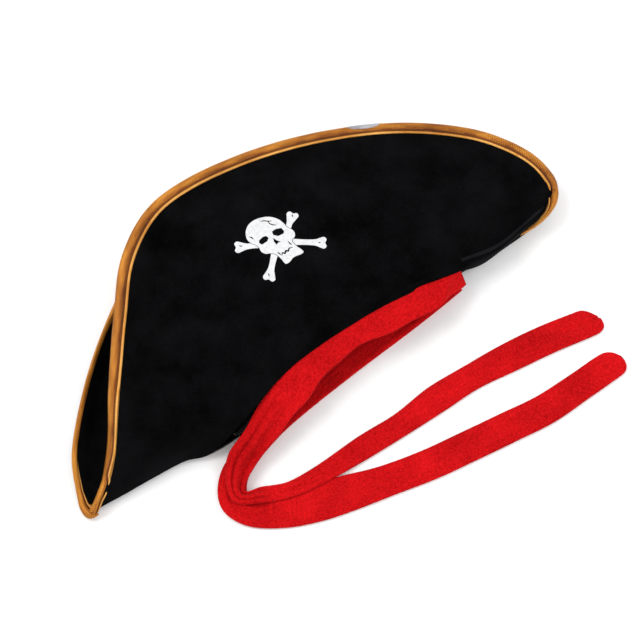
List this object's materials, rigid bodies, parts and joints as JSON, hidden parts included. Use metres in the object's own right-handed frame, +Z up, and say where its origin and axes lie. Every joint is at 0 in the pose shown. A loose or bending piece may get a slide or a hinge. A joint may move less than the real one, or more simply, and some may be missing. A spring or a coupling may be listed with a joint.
{
  "type": "pirate hat",
  "caption": "Soft two-cornered costume hat: turned-up velvet brim edged with braid, printed skull, plush scarf round the head opening with two loose tails.",
  "frame": {"origin": "on the surface that the hat lies on, under the middle of the whole outline of hat and scarf tails", "axes": "+X along the hat's length towards the scarf tails' ends, +Y from the head opening to the top of the crown, +Z up, out of the front flap with the print"},
  "size_m": [0.4833, 0.3267, 0.0632],
  "materials": {
    "velvet": "short-pile velvet with a faint sheen",
    "interlining": "stiff non-woven",
    "sweatband": "woven tape",
    "black_thread": "sewing thread",
    "gold_thread": "sewing thread",
    "red_thread": "sewing thread",
    "braid": "metallic woven braid",
    "braid_worn": "braid rubbed down to its silver core",
    "print": "flat transfer print",
    "plush": "short-pile plush"
  },
  "bodies": {
    "hat": {"brim_back_velvet": "velvet", "brim_back_interlining": "interlining", "brim_back_lining": "velvet", "brim_fold": "velvet", "crown_front": "velvet", "crown_back": "velvet", "crown_top_stitches": "black_thread", "sweatband": "sweatband", "rim_stitches": "black_thread", "braid_back": "braid", "braid_stitches_back": "gold_thread", "scarf_band_front": "plush", "scarf_band_back": "plush", "scarf_tack_stitches": "red_thread"},
    "front_flap": {"brim_front_velvet": "velvet", "brim_front_interlining": "interlining", "brim_front_lining": "velvet", "braid_front": "braid", "braid_join": "braid_worn", "braid_stitches_front": "gold_thread", "skull_print": "print"},
    "tail_upper": {"scarf_tail_upper": "plush"},
    "tail_lower": {"scarf_tail_lower": "plush"}
  },
  "joints": [
    {"name": "front_flap_open", "type": "hinge", "parent": "hat", "child": "front_flap", "pos_m": [0, -0.014, 0.043], "axis": [0.9988, 0.0499, 0], "range_deg": [0, 30]},
    {"name": "scarf_tail_upper_swing", "type": "hinge", "parent": "hat", "child": "tail_upper", "pos_m": [-0.094, -0.097, 0], "axis": [0, 0, 1], "range_deg": [0, 8]},
    {"name": "scarf_tail_lower_swing", "type": "hinge", "parent": "hat", "child": "tail_lower", "pos_m": [-0.096, -0.121, 0], "axis": [0, 0, 1], "range_deg": [-15, 0]}
  ]
}
